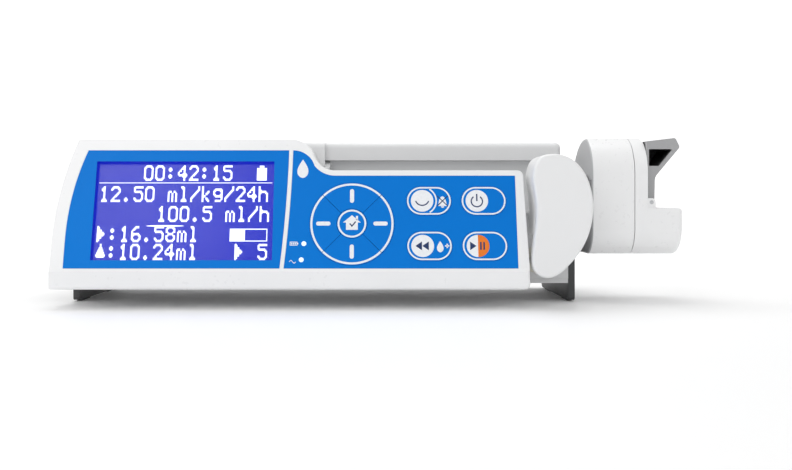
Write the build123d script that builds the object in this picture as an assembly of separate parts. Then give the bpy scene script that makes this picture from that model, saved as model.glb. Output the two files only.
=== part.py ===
"""Syringe-type infusion pump, built as an assembly of separate pieces, in millimetres.

Along the pump, places are given as a distance u from the left end, a depth v from the front of the lip
and a height z above the bench. The part frame has its origin at the bottom centre of the whole pump,
X to the right, Y to the back and Z up.
"""

import math
import os

from build123d import *

# ---- driving dimensions ----
LENGTH = 359.6          # left end to the pusher head's right end, pusher home
DEPTH = 140.0           # lip to back wall
HEIGHT = 95.0           # bench to the top of the case
CASE_LENGTH = 299.0     # left end to the right side plate
WALL = 2.5              # moulded walls
CASE_BOTTOM = 11.0      # underside of the case above the bench
LIP_TOP = 22.5          # where the tilted panel starts
PANEL_TILT = 15.0       # degrees the panel leans back
PANEL_FOOT = 1.0        # depth of the panel's lower edge
CONSOLE_LENGTH = 265.5  # front cover, left end to its right wall
CONSOLE_BACK = 46.0     # where the front cover meets the rear housing
LOW_TOP = 77.2          # console's top over the keypad
TROUGH_START = 150.0    # left end of the syringe trough
TROUGH_FLOOR = 51.0     # top of the console's shelf, under the syringe tray
TROUGH_FRONT = 24.5     # front wall of the trough
BAND_FRONT = 50.0       # front of the rear housing's lip over the trough
BAND_LOW = 84.3         # underside of that lip
UPPER_END = 291.5       # right end of the housing above the trough floor
PLATE = 4.0             # side plates
SYRINGE_Z = 68.0        # axis of the largest syringe
SYRINGE_V = 41.0

TUBE_V, TUBE_Z, TUBE_R = 74.0, 39.0, 8.0
SCREW_V, SCREW_Z, SCREW_R = 100.0, 37.0, 4.0
ROD_V, ROD_Z, ROD_R = 122.0, 37.0, 4.0
RUNNING = 0.05          # radial clearance of a running fit

GEAR_MODULE = 0.8
GEAR_TEETH, PINION_TEETH = 40, 16
GEAR_DISTANCE = GEAR_MODULE * (GEAR_TEETH + PINION_TEETH) / 2
MOTOR_DIRECTION = 60.0  # degrees above the horizontal, from screw to motor
MOTOR_V = SCREW_V + GEAR_DISTANCE * math.cos(math.radians(MOTOR_DIRECTION))
MOTOR_Z = SCREW_Z + GEAR_DISTANCE * math.sin(math.radians(MOTOR_DIRECTION))

PIVOT_U, PIVOT_Z = 275.0, 25.0   # syringe holder's shaft
SHAFT_R = 3.5

HEAD_LEFT, HEAD_SEAM, HEAD_RIGHT = 306.5, 331.2, 339.0
HEAD_FRONT, HEAD_BACK = 33.0, 88.0
LEDGE_Z = 55.8

DISPLAY = (22.2, 122.8, 27.2, 82.5)      # u0, u1, z0, z1 of the visible screen
PAD_U, PAD_Z = 166.9, 47.3               # centre of the direction pad
PAD_R, PAD_INNER_R, OK_R = 23.6, 8.6, 8.4
QUARTER_GAP = 0.15
KEY_PLACES = {"key_menu": (210.0, 60.0), "key_power": (240.7, 60.0),
              "key_bolus": (210.0, 35.0), "key_start": (240.7, 35.0)}
KEY_LENGTH, KEY_WIDTH = 25.2, 16.6
KEY_GAP = 0.15
KEY_PROUD = 0.25
KEY_ROUNDING = 0.15     # upper rim of the round and pill-shaped keys
OVERLAY = 0.6           # thickness of the printed overlay
WEB = 2.5               # panel behind the overlay
PANEL_ROUNDING = 0.5    # rounding of the panel's upper rim


# ---- placing ----
def box(u0, u1, v0, v1, z0, z1):
    """A block between two corners in u, v, z."""
    block = Box(u1 - u0, v1 - v0, z1 - z0, align=(Align.MIN, Align.MIN, Align.MIN))
    return Pos(u0 - LENGTH / 2, v0 - DEPTH / 2, z0) * block


def bar(u0, u1, v, z, r):
    """A round bar along the pump."""
    shape = Cylinder(r, u1 - u0, align=(Align.CENTER, Align.CENTER, Align.MIN))
    return Pos(u0 - LENGTH / 2, v - DEPTH / 2, z) * Rot(0, 90, 0) * shape


def pin_v(u, z, v0, v1, r):
    """A round bar from front to back."""
    shape = Cylinder(r, v1 - v0, align=(Align.CENTER, Align.CENTER, Align.MIN))
    return Pos(u - LENGTH / 2, v0 - DEPTH / 2, z) * Rot(-90, 0, 0) * shape


def pin_z(u, v, z0, z1, r):
    """A round bar standing up."""
    shape = Cylinder(r, z1 - z0, align=(Align.CENTER, Align.CENTER, Align.MIN))
    return Pos(u - LENGTH / 2, v - DEPTH / 2, z0) * shape


def front_view(v0, v1):
    """A function that extrudes an outline drawn in (u, z) from depth v0 to v1."""
    plane = Plane(origin=(-LENGTH / 2, v0 - DEPTH / 2, 0), x_dir=(1, 0, 0), z_dir=(0, -1, 0))
    return lambda sketch: extrude(plane * sketch, amount=-(v1 - v0))


def side_view(u0, u1):
    """A function that extrudes an outline drawn in (v, z) from u0 to u1."""
    plane = Plane(origin=(u0 - LENGTH / 2, -DEPTH / 2, 0), x_dir=(0, 1, 0), z_dir=(1, 0, 0))
    return lambda sketch: extrude(plane * sketch, amount=u1 - u0)


def panel_v(z, behind=0.0):
    """Depth of the panel surface at height z, or of the surface that far behind it."""
    tilt = math.radians(PANEL_TILT)
    return PANEL_FOOT + (z - LIP_TOP) * math.tan(tilt) + behind / math.cos(tilt)


def on_panel(u, z):
    """A plane lying on the panel at that place, its normal outwards."""
    tilt = math.radians(PANEL_TILT)
    return Plane(origin=(u - LENGTH / 2, panel_v(z) - DEPTH / 2, z), x_dir=(1, 0, 0),
                 z_dir=(0, -math.cos(tilt), math.sin(tilt)))


def raised(u, z, sketch, low, high):
    """An outline drawn on the panel, extruded between two heights along its normal."""
    plane = on_panel(u, z)
    return extrude(plane.offset(low) * sketch, amount=high - low)


def polygon(*points):
    return make_face(Polyline(*points, close=True))


def rounded_polygon(points, radii):
    """A closed outline whose corners have the given radii."""
    face = polygon(*points)
    for point, radius in zip(points, radii):
        if radius:
            corner = face.vertices().sort_by_distance(Vector(*point))[0]
            face = fillet(corner, radius)
    return face


# ---- front console ----
SHOULDER = 133.5
LOW_START = 156.5


def console_outline(inset=0.0):
    """The console seen from the front: a leaning left edge, a high part and an S-curve down to a low part."""
    top, low, right = HEIGHT - inset, LOW_TOP - inset, CONSOLE_LENGTH - inset
    bottom, left = CASE_BOTTOM + inset, inset
    middle = ((SHOULDER + LOW_START) / 2 - 0.4 * inset, (top + low) / 2)
    lines = [
        Line((left, bottom), (left, 38)),
        ThreePointArc((left, 38), (left + 2.2, 62), (left + 11, top)),
        Line((left + 11, top), (SHOULDER - inset * 0.4, top)),
        ThreePointArc((SHOULDER - inset * 0.4, top), (SHOULDER + 6.4 - 0.4 * inset, top - 2.2), middle),
        ThreePointArc(middle, (LOW_START - 6.4 - 0.4 * inset, low + 2.2), (LOW_START, low)),
        Line((LOW_START, low), (right - 5, low)),
        ThreePointArc((right - 5, low), (right - 2.9, low - 0.9), (right - 2, low - 3)),
        Line((right - 2, low - 3), (right, bottom + 3)),
        ThreePointArc((right, bottom + 3), (right - 0.9, bottom + 0.9), (right - 3, bottom)),
        Line((right - 3, bottom), (left, bottom)),
    ]
    return make_face(Wire(lines))


def console_profile(inset=0.0, back=CONSOLE_BACK):
    """The console seen from the side: a lip, then the tilted panel."""
    top = HEIGHT + 5
    return polygon(
        (inset, CASE_BOTTOM + inset), (back, CASE_BOTTOM + inset), (back, top),
        (panel_v(top, inset), top), (panel_v(LIP_TOP, inset), LIP_TOP), (inset, LIP_TOP - 1.5),
    )


def key_outline(name, grow=0.0):
    if name == "key_ok":
        return Circle(OK_R + grow)
    return SlotOverall(KEY_LENGTH + 2 * grow, KEY_WIDTH + 2 * grow)


def direction_outline(grow=0.0):
    """The upward quarter of the direction pad's ring."""
    ring = Circle(PAD_R + grow) - Circle(PAD_INNER_R)
    far = 2 * PAD_R
    quarter = Pos(0, QUARTER_GAP) * polygon((0, 0), (far, far), (-far, far))
    return ring & quarter


DIRECTIONS = {"key_up": 0, "key_left": 90, "key_down": 180, "key_right": 270}


def all_key_holes(low, high):
    holes = [raised(u, z, key_outline(name, KEY_GAP), low, high) for name, (u, z) in KEY_PLACES.items()]
    holes.append(raised(PAD_U, PAD_Z, Circle(PAD_R + KEY_GAP), low, high))
    return holes


LAMP_PLACES = ((140.3, 36.3), (139.0, 27.5))
LAMP_R = 1.3


def front_cover():
    """Moulded console shell: lip, tilted panel, side walls and the shelf under the syringe tray."""
    outer = front_view(0, CONSOLE_BACK)(console_outline()) & side_view(0, CONSOLE_LENGTH)(console_profile())
    trough = box(TROUGH_START, CASE_LENGTH, TROUGH_FRONT, CONSOLE_BACK, TROUGH_FLOOR, HEIGHT + 1)
    outer -= trough
    edges = [e for e in outer.edges().filter_by(Axis.X)
             if e.center().Y < 2 - DEPTH / 2 and e.center().Z < LIP_TOP - 3]
    outer = fillet(edges, 2.2)
    normal = on_panel(0, LIP_TOP).z_dir
    panel = [f for f in outer.faces() if f.geom_type == GeomType.PLANE and f.normal_at().dot(normal) > 0.999]
    rim = [e for e in max(panel, key=lambda f: f.area).edges() if e.center().Z > LIP_TOP + 1]
    outer = fillet(rim, PANEL_ROUNDING)
    inner_panel = OVERLAY + WEB
    hollow = (front_view(0, CONSOLE_BACK + 1)(console_outline(WALL))
              & side_view(0, CONSOLE_LENGTH)(console_profile(inner_panel, CONSOLE_BACK + 1)))
    keep = box(TROUGH_START - WALL, CASE_LENGTH, TROUGH_FRONT - 2, CONSOLE_BACK + 1,
               TROUGH_FLOOR - WALL, HEIGHT + 1)
    shell = outer - (hollow - keep)
    shell -= overlay_left_shape(grow=0.1, low=-OVERLAY, high=1)
    shell -= overlay_right_shape(grow=0.1, low=-OVERLAY, high=1)
    u0, u1, z0, z1 = DISPLAY
    opening = Rectangle(u1 - u0 + 2, (z1 - z0) / math.cos(math.radians(PANEL_TILT)) + 2)
    shell -= raised((u0 + u1) / 2, (z0 + z1) / 2, opening, -8, 1)
    for hole in all_key_holes(-8, 1):
        shell -= hole
    for u, z in LAMP_PLACES:
        shell -= raised(u, z, Circle(LAMP_R + 0.1), -8, 1)
    return shell


def slope(z):
    """Distance up the panel from its foot to height z."""
    return (z - LIP_TOP) / math.cos(math.radians(PANEL_TILT))


def overlay_left_outline(grow=0.0):
    g = grow
    return make_face(Wire([
        Line((7.6 - g, slope(22.8) - g), (7.6 - g, slope(40))),
        ThreePointArc((7.6 - g, slope(40)), (9.6 - g, slope(62)), (17.0 - g, slope(88.7) + g)),
        Line((17.0 - g, slope(88.7) + g), (131.0 + g, slope(88.7) + g)),
        ThreePointArc((131.0 + g, slope(88.7) + g), (129.9 + g, slope(58)), (127.0 + g, slope(22.8) - g)),
        Line((127.0 + g, slope(22.8) - g), (7.6 - g, slope(22.8) - g)),
    ]))


def overlay_right_outline(grow=0.0):
    g = grow
    return make_face(Wire([
        Line((129.4 - g, slope(22.8) - g), (258.8 + g, slope(22.8) - g)),
        Line((258.8 + g, slope(22.8) - g), (258.8 + g, slope(74.2) + g)),
        Line((258.8 + g, slope(74.2) + g), (157.0, slope(74.2) + g)),
        ThreePointArc((157.0, slope(74.2) + g), (150.6, slope(75.8) + g), (145.6, slope(79.8) + g)),
        ThreePointArc((145.6, slope(79.8) + g), (140.8, slope(86.4) + g), (134.0, slope(88.7) + g)),
        Line((134.0, slope(88.7) + g), (133.4 - g, slope(88.7) + g)),
        ThreePointArc((133.4 - g, slope(88.7) + g), (132.3 - g, slope(58)), (129.4 - g, slope(22.8) - g)),
    ]))


def overlay_left_shape(grow=0.0, low=-OVERLAY + 0.05, high=0.0):
    return raised(0, LIP_TOP, overlay_left_outline(grow), low, high)


def overlay_right_shape(grow=0.0, low=-OVERLAY + 0.05, high=0.0):
    return raised(0, LIP_TOP, overlay_right_outline(grow), low, high)


def display_overlay():
    """Printed polyester sheet round the screen."""
    u0, u1, z0, z1 = DISPLAY
    opening = Rectangle(u1 - u0, (z1 - z0) / math.cos(math.radians(PANEL_TILT)))
    return overlay_left_shape() - raised((u0 + u1) / 2, (z0 + z1) / 2, opening, -8, 1)


def keypad_overlay():
    """Printed polyester sheet over the keypad, cut out for the keys and lamps."""
    sheet = overlay_right_shape()
    for hole in all_key_holes(-8, 1):
        sheet -= hole
    for u, z in LAMP_PLACES:
        sheet -= raised(u, z, Circle(LAMP_R + 0.1), -8, 1)
    return sheet


def display_window():
    """Clear window glued in behind the display overlay."""
    u0, u1, z0, z1 = DISPLAY
    pane = Rectangle(u1 - u0 + 1.6, (z1 - z0) / math.cos(math.radians(PANEL_TILT)) + 1.6)
    return raised((u0 + u1) / 2, (z0 + z1) / 2, pane, -1.8, -0.75)


def display_glass():
    """Liquid-crystal cell."""
    u0, u1, z0, z1 = DISPLAY
    pane = Rectangle(u1 - u0 + 6, (z1 - z0) / math.cos(math.radians(PANEL_TILT)) + 4)
    return raised((u0 + u1) / 2, (z0 + z1) / 2, pane, -5.4, -3.3)


def display_frame():
    """Folded tin frame and circuit board that carry the cell and its backlight."""
    u0, u1, z0, z1 = DISPLAY
    tall = (z1 - z0) / math.cos(math.radians(PANEL_TILT))
    middle = ((u0 + u1) / 2, (z0 + z1) / 2)
    tray = raised(*middle, Rectangle(u1 - u0 + 9, tall + 7), -9.5, -3.6)
    return tray - raised(*middle, Rectangle(u1 - u0 + 6.2, tall + 4.2), -5.5, 0)


def key_cap(name):
    """One key: a cap that stands proud of the overlay and a flange that keeps it behind the panel."""
    if name in DIRECTIONS:
        turn, place = DIRECTIONS[name], (PAD_U, PAD_Z)
        cap, flange = direction_outline(), direction_outline(0.9)
    elif name == "key_ok":
        turn, place = 0, (PAD_U, PAD_Z)
        cap, flange = key_outline(name), key_outline(name)
    else:
        turn, place = 0, KEY_PLACES[name]
        cap, flange = key_outline(name), key_outline(name, 0.9)
    body = extrude(Pos(0, 0, -3.2) * cap, amount=3.2 + KEY_PROUD)
    if name not in DIRECTIONS:
        body = fillet(body.faces().sort_by(Axis.Z)[-1].edges(), KEY_ROUNDING)
    body += extrude(Pos(0, 0, -4.0) * flange, amount=0.8)
    return on_panel(*place) * (Rot(0, 0, turn) * body)


def keypad_board():
    """Switch board behind the keys, with a snap dome under each key."""
    low, high = slope(25.5), slope(72.5)
    board = raised(0, LIP_TOP, Pos(196.5, (low + high) / 2) * Rectangle(121, high - low), -7.0, -5.5)
    reach = (PAD_R + PAD_INNER_R) / 2
    places = [(0, 0)] + [(reach * math.sin(math.radians(a)), reach * math.cos(math.radians(a)))
                         for a in (0, 90, 180, 270)]
    for x, y in places:
        board += raised(PAD_U, PAD_Z, Pos(x, y) * Circle(2.6), -5.6, -5.0)
    for u, z in KEY_PLACES.values():
        board += raised(u, z, Circle(2.6), -5.6, -5.0)
    return board


def status_lamps():
    """Two light pipes for battery and mains."""
    return Compound([raised(u, z, Circle(LAMP_R), -4.5, 0.15) for u, z in LAMP_PLACES])


# ---- case ----
def housing_block(inset=0.0):
    """Rear housing's outer form: a full-length lower part and an upper part with a lip over the trough."""
    low = box(PLATE + inset, CASE_LENGTH - PLATE - inset, CONSOLE_BACK + inset, DEPTH - inset,
              CASE_BOTTOM, TROUGH_FLOOR - inset)
    high = box(PLATE + inset, UPPER_END - inset, BAND_FRONT + inset, DEPTH - inset,
               CASE_BOTTOM, HEIGHT - inset)
    left = box(PLATE + inset, TROUGH_START - inset, CONSOLE_BACK + inset, DEPTH - inset,
               CASE_BOTTOM, HEIGHT - inset)
    return low + high + left


def rear_housing():
    """Moulded rear shell, open below, with the recess that takes the syringe tray."""
    outer = housing_block()
    top_edges = [e for e in outer.edges().filter_by(Axis.X) if e.center().Z > HEIGHT - 0.1]
    outer = fillet(top_edges, 3.5)
    back_edges = [e for e in outer.edges().filter_by(Axis.Z)
                  if e.center().Y > DEPTH / 2 - 0.1 and e.center().X > 0]
    outer = fillet(back_edges, 3.0)
    outer -= box(0, CASE_LENGTH, 0, DEPTH, 0, CASE_BOTTOM + WALL + 0.1)
    hollow = housing_block(WALL)
    recess = box(TROUGH_START, CASE_LENGTH, BAND_FRONT - 1, 58.0, TROUGH_FLOOR, BAND_LOW)
    around = box(TROUGH_START - WALL, CASE_LENGTH, BAND_FRONT - 1, 58.0 + WALL,
                 TROUGH_FLOOR - WALL, BAND_LOW + WALL)
    shell = outer - (hollow - around) - recess
    shell -= bar(CASE_LENGTH - PLATE - WALL - 1, CASE_LENGTH, TUBE_V, TUBE_Z, 10.0)
    shell -= pin_v(PIVOT_U, PIVOT_Z, CONSOLE_BACK - 1, CONSOLE_BACK + WALL + 1, 6.0)
    shell -= box(24.4, 55.6, DEPTH - WALL - 1, DEPTH + 1, 44.0, 68.0)
    shell -= box(74.6, 105.4, DEPTH - WALL - 1, DEPTH + 1, 21.6, 34.4)
    for u in CLAMP_PLACES:
        shell -= pin_v(u, CLAMP_Z, DEPTH - WALL - 1, DEPTH + 1, 3.6)
    for row in range(5):
        for column in range(7):
            shell -= pin_v(20 + 4 * column, 74 + 4 * row - 0.5, DEPTH - WALL - 1, DEPTH + 1, 0.9)
    for u in (180, 188, 196, 204, 212, 220):
        shell -= box(u, u + 2.4, DEPTH - WALL - 1, DEPTH + 1, 62, 80)
    shell += screw_bosses()
    for v, z in RAIL_SCREWS:
        shell -= bar(PLATE - 1, 9.1, v, z, 1.5) + bar(CASE_LENGTH - 9.1, CASE_LENGTH - PLATE + 1, v, z, 1.5)
    return shell


CLAMP_PLACES, CLAMP_Z = (140.0, 200.0), 42.0


def screw_bosses():
    """Posts for the base plate's screws, each tied to the nearest wall by a rib."""
    z0, z1 = CASE_BOTTOM + WALL + 0.1, CASE_BOTTOM + 13
    posts = Part()
    for u, v in CASE_SCREWS:
        wall = CONSOLE_BACK + WALL if v < DEPTH / 2 else DEPTH - WALL
        posts += pin_z(u, v, z0, z1, 3.4) + box(u - 1, u + 1, min(v, wall - 1), max(v, wall + 1), z0, z1)
    for u, v in CASE_SCREWS:
        posts -= pin_z(u, v, z0 - 1, z1 + 1, 1.5)
    return posts


def syringe_tray():
    """Trough liner: a half-round channel with a slot that holds the syringe's flange."""
    z0, z1 = TROUGH_FLOOR + 0.1, BAND_LOW - 0.1
    block = side_view(TROUGH_START + 0.1, UPPER_END)(polygon(
        (TROUGH_FRONT + 0.1, z0), (57.9, z0), (57.9, z1), (56.0, z1), (TROUGH_FRONT + 0.1, z1 - 10)))
    channel = bar(TROUGH_START + 3, UPPER_END + 1, SYRINGE_V, SYRINGE_Z, 15.0)
    channel += box(TROUGH_START + 3, UPPER_END + 1, SYRINGE_V - 15, SYRINGE_V + 15, SYRINGE_Z, HEIGHT)
    tray = block - channel
    tray -= box(TROUGH_START, UPPER_END + 1, 0, SYRINGE_V, 75.5, HEIGHT)
    tray -= box(CONSOLE_LENGTH - 0.6, UPPER_END + 1, 0, 39.0, 0, HEIGHT)
    tray -= box(CONSOLE_LENGTH - 0.6, UPPER_END + 1, 0, 45.9, 0, TROUGH_FLOOR + 1.0)
    tray -= box(285.0, 288.0, 39.0, 56.9, TROUGH_FLOOR + 1.2, HEIGHT)
    return tray


def side_plate(right):
    """End plate whose lower edge is a rail that the pump stands on."""
    u0 = CASE_LENGTH - PLATE if right else 0.0
    top = TROUGH_FLOOR - 1 if right else LEFT_PLATE_TOP
    outline = rounded_polygon(
        ((CONSOLE_BACK + 0.1, 0.8), (DEPTH, 0.8), (DEPTH, top), (CONSOLE_BACK + 0.1, top)),
        (2.0, 4.0, 4.0, 0.0 if not right else 1.5))
    plate = side_view(u0, u0 + PLATE)(outline)
    if right:
        plate -= bar(u0 - 1, CASE_LENGTH + 1, TUBE_V, TUBE_Z, 10.0)
    for v, z in RAIL_SCREWS:
        plate -= bar(u0 - 1, u0 + PLATE + 1, v, z, 1.7)
        plate -= bar(u0 + (2 if right else -1), u0 + (PLATE + 1 if right else 2), v, z, 3.2)
    return plate


RAIL_SCREWS = ((56.0, 24.0), (130.0, 24.0))
LEFT_PLATE_TOP = 60.0    # hidden from the front by the console's leaning edge


def case_screws():
    """All the case's screws: side plates, base plate and drive frame."""
    screws = [pin_z(u, v, CASE_BOTTOM + 0.2, CASE_BOTTOM + 1.4, 3.0)
              + pin_z(u, v, CASE_BOTTOM + 1.4, CASE_BOTTOM + 12, 1.5) for u, v in CASE_SCREWS]
    screws += [pin_z(u, v, 16.2, 18.2, 2.8) + pin_z(u, v, 13.7, 16.2, 1.5) for u, v in FRAME_SCREWS]
    for v, z in RAIL_SCREWS:
        screws.append(bar(0.4, 2.0, v, z, 3.1) + bar(2.0, 9.0, v, z, 1.5))
        screws.append(bar(CASE_LENGTH - 2, CASE_LENGTH - 0.4, v, z, 3.1)
                      + bar(CASE_LENGTH - 9, CASE_LENGTH - 2, v, z, 1.5))
    return Compound(screws)


def rubber_feet():
    """Four soft strips along the rails' lower edges."""
    feet = []
    for u in (0.6, CASE_LENGTH - PLATE + 0.6):
        for v in (52.0, 112.0):
            feet.append(box(u, u + PLATE - 1.2, v, v + 18, 0, 0.8))
    return Compound(feet)


def base_plate():
    """Bottom cover with the battery opening."""
    plate = box(PLATE + 0.1, CASE_LENGTH - PLATE - 0.1, CONSOLE_BACK + 0.1, DEPTH - 1.0,
                CASE_BOTTOM, CASE_BOTTOM + WALL)
    plate -= box(*BATTERY_BAY[:4], CASE_BOTTOM - 1, CASE_BOTTOM + WALL + 1)
    for u, v in CASE_SCREWS:
        plate -= pin_z(u, v, CASE_BOTTOM - 1, CASE_BOTTOM + WALL + 1, 1.8)
        plate -= pin_z(u, v, CASE_BOTTOM - 1, CASE_BOTTOM + 1.4, 3.2)
    return plate


BATTERY_BAY = (12.0, 70.0, 52.0, 120.0, 14.5, 35.0)
CASE_SCREWS = ((78.0, 54.0), (69.0, 134.0), (286.0, 54.0), (286.0, 134.0))


def battery_door():
    """Cover over the battery bay, snapped into the base plate."""
    u0, u1, v0, v1 = BATTERY_BAY[:4]
    door = box(u0 + 0.2, u1 - 0.2, v0 + 0.2, v1 - 0.2, CASE_BOTTOM + 0.2, CASE_BOTTOM + 2.2)
    return door - box(u0 + 20, u1 - 20, v1 - 8, v1 - 5, CASE_BOTTOM - 1, CASE_BOTTOM + 1.2)


def battery_cells():
    """Three rechargeable cells, side by side."""
    return Compound([pin_v(21.6 + 19 * n, 24.6, 53.5, 118.5, 9.2) for n in range(3)])


def clamp_inserts():
    """Threaded inserts in the back wall, for a pole clamp."""
    return Compound([pin_v(u, CLAMP_Z, DEPTH - 9, DEPTH - 0.2, 3.5) - pin_v(u, CLAMP_Z, DEPTH - 10, DEPTH, 2.1)
                     for u in CLAMP_PLACES])


def mains_inlet():
    """Three-pin appliance inlet in the back wall."""
    body = box(24.6, 55.4, DEPTH - 20, DEPTH - 0.1, 44.2, 67.8)
    body -= box(28.0, 52.0, DEPTH - 16, DEPTH + 1, 48.0, 64.0)
    for u, z in MAINS_PINS:
        body += box(u - 1, u + 1, DEPTH - 23, DEPTH - 8, z - 2, z + 2)
    return body


MAINS_PINS = ((33.0, 54.0), (40.0, 58.0), (47.0, 54.0))


def data_port():
    body = box(74.8, 105.2, DEPTH - 12, DEPTH - 0.1, 21.8, 34.2)
    return body - box(78.0, 102.0, DEPTH - 6, DEPTH + 1, 24.5, 31.5)


# ---- electronics ----
def circuit_board(u0, u1, v0, v1, z, parts):
    """A board with its tall components standing on it."""
    shape = box(u0, u1, v0, v1, z, z + 1.6)
    for part in parts:
        a0, a1, b0, b1, tall = part
        shape += box(a0, a1, b0, b1, z + 1.6, z + 1.6 + tall)
    return shape


def main_board():
    return circuit_board(14, 176, 63, 128, 80.0, (
        (30, 46, 80, 96, 1.6), (60, 68, 76, 84, 1.4), (84, 104, 90, 102, 2.0),
        (120, 150, 118, 126, 6.0), (140, 152, 72, 84, 4.0), (112, 118, 70, 76, 8.0)))


def power_board():
    return circuit_board(190, 282, 66, 130, 58.0, (
        (200, 226, 90, 118, 20.0), (236, 250, 76, 90, 22.0), (256, 268, 74, 86, 16.0),
        (240, 270, 112, 124, 12.0)))


def speaker():
    cone = pin_v(32.0, 81.5, DEPTH - WALL - 3.6, DEPTH - WALL - 0.1, 9.5)
    return cone + pin_v(32.0, 81.5, DEPTH - WALL - 9, DEPTH - WALL - 3.6, 6.0)


# ---- drive ----
FRAME_LEFT, FRAME_RIGHT, BRACKET = 121.0, 283.0, 5.0


def drive_frame():
    """Cast frame: a floor and two end brackets that carry the screw, rod, tube and motor."""
    frame = box(FRAME_LEFT, FRAME_RIGHT + BRACKET, 64, 130, CASE_BOTTOM + WALL + 0.1, 16.2)
    frame += box(FRAME_LEFT, FRAME_LEFT + BRACKET, 64, 130, 16.2, 52)
    frame += box(FRAME_LEFT, FRAME_LEFT + BRACKET, MOTOR_V - 18, MOTOR_V + 18, 52, MOTOR_Z + 18)
    frame += box(FRAME_RIGHT, FRAME_RIGHT + BRACKET, 61.5, 130, 16.2, 50)
    for u in (FRAME_LEFT, FRAME_RIGHT):
        frame -= bar(u - 1, u + BRACKET + 1, SCREW_V, SCREW_Z, 6.5)
        frame -= bar(u - 1, u + BRACKET + 1, ROD_V, ROD_Z, ROD_R)
    frame -= bar(FRAME_LEFT - 1, FRAME_LEFT + BRACKET + 1, MOTOR_V, MOTOR_Z, 11.2)
    frame -= bar(FRAME_RIGHT - 1, FRAME_RIGHT + BRACKET + 1, TUBE_V, TUBE_Z, 10.0)
    for u, v in FRAME_SCREWS:
        frame -= pin_z(u, v, 10, 20, 1.6)
    return frame


FRAME_SCREWS = ((134.0, 90.0), (134.0, 126.0), (262.0, 90.0), (262.0, 126.0))


def guide_rod():
    return bar(FRAME_LEFT, FRAME_RIGHT + BRACKET, ROD_V, ROD_Z, ROD_R)


def screw_bearings():
    return Compound([bar(u, u + BRACKET, SCREW_V, SCREW_Z, 6.5)
                     - bar(u - 1, u + BRACKET + 1, SCREW_V, SCREW_Z, 3.0 + RUNNING / 2)
                     for u in (FRAME_LEFT, FRAME_RIGHT)])


def lead_screw():
    """Ground screw; the thread is held as its outside diameter with shallow rings."""
    screw = bar(FRAME_LEFT + 0.2, FRAME_RIGHT + BRACKET + 1, SCREW_V, SCREW_Z, 3.0)
    screw += bar(FRAME_LEFT + BRACKET + 0.3, FRAME_RIGHT - 0.3, SCREW_V, SCREW_Z, SCREW_R)
    return screw


def gear_outline(teeth, backlash=0.12):
    """A spur gear with involute flanks: pressure angle 20 degrees, thinned for backlash."""
    pitch = GEAR_MODULE * teeth / 2
    base = pitch * math.cos(math.radians(20))
    tip = pitch + GEAR_MODULE
    root = pitch - 1.25 * GEAR_MODULE
    half_tooth = math.pi / (2 * teeth) - backlash / (2 * pitch)
    at_pitch = math.tan(math.radians(20)) - math.radians(20)
    points = []
    for tooth in range(teeth):
        centre = 2 * math.pi * tooth / teeth
        flank = []
        for step in range(5):
            radius = max(base, root) + (tip - max(base, root)) * step / 4
            roll = math.acos(base / radius)
            offset = half_tooth + at_pitch - (math.tan(roll) - roll)
            flank.append((radius, offset))
        left = [(root, flank[0][1])] + flank
        right = [(radius, -offset) for radius, offset in reversed(left)]
        for radius, offset in [(r, -o) for r, o in left] + [(r, -o) for r, o in right]:
            points.append((radius * math.cos(centre + offset), radius * math.sin(centre + offset)))
    return polygon(*points)


GEAR_U0, GEAR_U1 = FRAME_LEFT + BRACKET + 1.5, FRAME_LEFT + BRACKET + 6.5


def gear(teeth, v, z, bore, turn, u0, u1):
    """A gear whose first tooth points in the direction turn, measured in the v, z plane."""
    plane = Plane(origin=(u0 - LENGTH / 2, v - DEPTH / 2, z), x_dir=(0, 1, 0), z_dir=(1, 0, 0))
    outline = Rot(0, 0, turn) * gear_outline(teeth)
    return extrude(plane * outline, amount=u1 - u0) - bar(u0 - 1, u1 + 1, v, z, bore)


def screw_gear():
    return gear(GEAR_TEETH, SCREW_V, SCREW_Z, SCREW_R, MOTOR_DIRECTION, GEAR_U0, GEAR_U1)


def motor_pinion():
    """Rotor shaft with its pinion."""
    turn = MOTOR_DIRECTION + 180 + 180 / PINION_TEETH
    pinion = gear(PINION_TEETH, MOTOR_V, MOTOR_Z, 2.4, turn, GEAR_U0 - 0.4, GEAR_U1 + 0.4)
    return pinion + bar(FRAME_LEFT - MOTOR_LENGTH + 4, GEAR_U1 + 1, MOTOR_V, MOTOR_Z, 2.5)


MOTOR_LENGTH = 30.0


def stepper_motor():
    """Square-bodied stepper motor with its pilot ring in the frame."""
    body = box(FRAME_LEFT - MOTOR_LENGTH, FRAME_LEFT, MOTOR_V - 17.5, MOTOR_V + 17.5,
               MOTOR_Z - 17.5, MOTOR_Z + 17.5)
    body = chamfer([e for e in body.edges().filter_by(Axis.X)], 3.5)
    body += bar(FRAME_LEFT, FRAME_LEFT + 2, MOTOR_V, MOTOR_Z, 11.0)
    return body - bar(FRAME_LEFT - MOTOR_LENGTH + 3, FRAME_LEFT + 5, MOTOR_V, MOTOR_Z, 2.5 + RUNNING)


CARRIAGE_U0, CARRIAGE_U1 = 138.0, 154.0


def carriage():
    """Moulded block that joins the drive tube, the half nut and the guide rod."""
    u0, u1 = CARRIAGE_U0, CARRIAGE_U1
    block = box(u0, u1, 63.5, 129.0, 27.5, 50.5)
    block -= bar(u0 - 1, u1 + 1, TUBE_V, TUBE_Z, TUBE_R)
    block -= bar(u0 - 1, u1 + 1, ROD_V, ROD_Z, ROD_R + RUNNING)
    block -= box(u0 + 2, u1 - 2, SCREW_V - 8, SCREW_V + 8, 33.0, 60)
    block -= bar(u0 - 1, u1 + 1, SCREW_V, SCREW_Z, SCREW_R + 0.5)
    return block


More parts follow.
